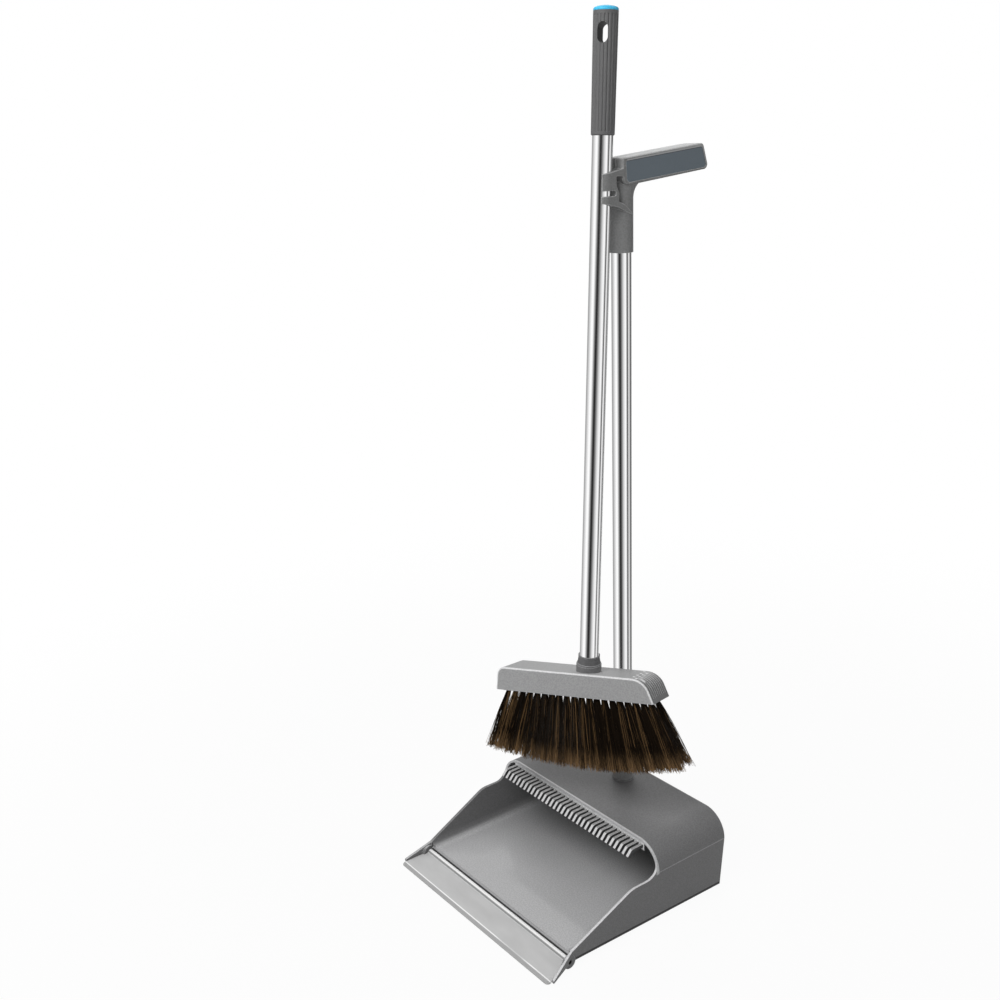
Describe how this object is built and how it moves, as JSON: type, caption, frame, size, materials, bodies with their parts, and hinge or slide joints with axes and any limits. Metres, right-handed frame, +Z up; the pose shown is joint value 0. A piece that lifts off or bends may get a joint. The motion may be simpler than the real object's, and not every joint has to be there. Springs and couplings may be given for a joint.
{
  "type": "long-handled dust pan and broom set",
  "caption": "Upright hooded dust pan with a cleaning comb and soft lip on a steel pole, with a long broom clipped to its hand grip.",
  "frame": {"origin": "on the floor, at the middle of the foot under the pan pole", "axes": "+Z up along the pan pole, -Y out of the pan mouth, +X to the right of the pan seen from its mouth"},
  "size_m": [0.2756, 0.3388, 0.93],
  "materials": {
    "grey_plastic": "satin moulded",
    "dark_plastic": "matt moulded",
    "slate_panel": "fine grained",
    "blue_cap": "gloss",
    "lip_rubber": "soft satin",
    "foot_rubber": "matt",
    "steel_tube": "polished",
    "screw_steel": "plain",
    "bristle": "split fibre"
  },
  "bodies": {
    "pan": {"pan_shell": "grey_plastic", "comb": "grey_plastic", "socket_collar": "grey_plastic", "pole_tube": "steel_tube", "pole_plug": "dark_plastic", "pole_washer": "screw_steel", "pole_screw": "screw_steel", "foot_mid": "foot_rubber", "foot_left": "foot_rubber", "foot_right": "foot_rubber", "hand_grip": "grey_plastic", "panel_right": "slate_panel", "panel_left": "slate_panel", "grip_screw": "screw_steel"},
    "lip": {"lip": "lip_rubber"},
    "broom": {"broom_tube": "steel_tube", "pole_tip": "dark_plastic", "broom_grip": "dark_plastic", "grip_cap": "blue_cap"},
    "head": {"block_cover": "grey_plastic", "boss_ring": "grey_plastic", "bristles_1": "bristle", "bristles_2": "bristle", "bristles_3": "bristle", "bristles_4": "bristle"}
  },
  "joints": [
    {"name": "lip_flap", "type": "hinge", "parent": "pan", "child": "lip", "pos_m": [0, -0.193, 0.0075], "axis": [-1, 0, 0], "range_deg": [0, 16]},
    {"name": "broom_lift", "type": "slide", "parent": "pan", "child": "broom", "axis": [0, 0.0471, 0.9989], "range_m": [0, 0.06]},
    {"name": "head_turn", "type": "hinge", "parent": "broom", "child": "head", "pos_m": [0, -0.0517, 0.22459], "axis": [0, 0.0471, 0.9989], "range_deg": [-45, 0]}
  ]
}
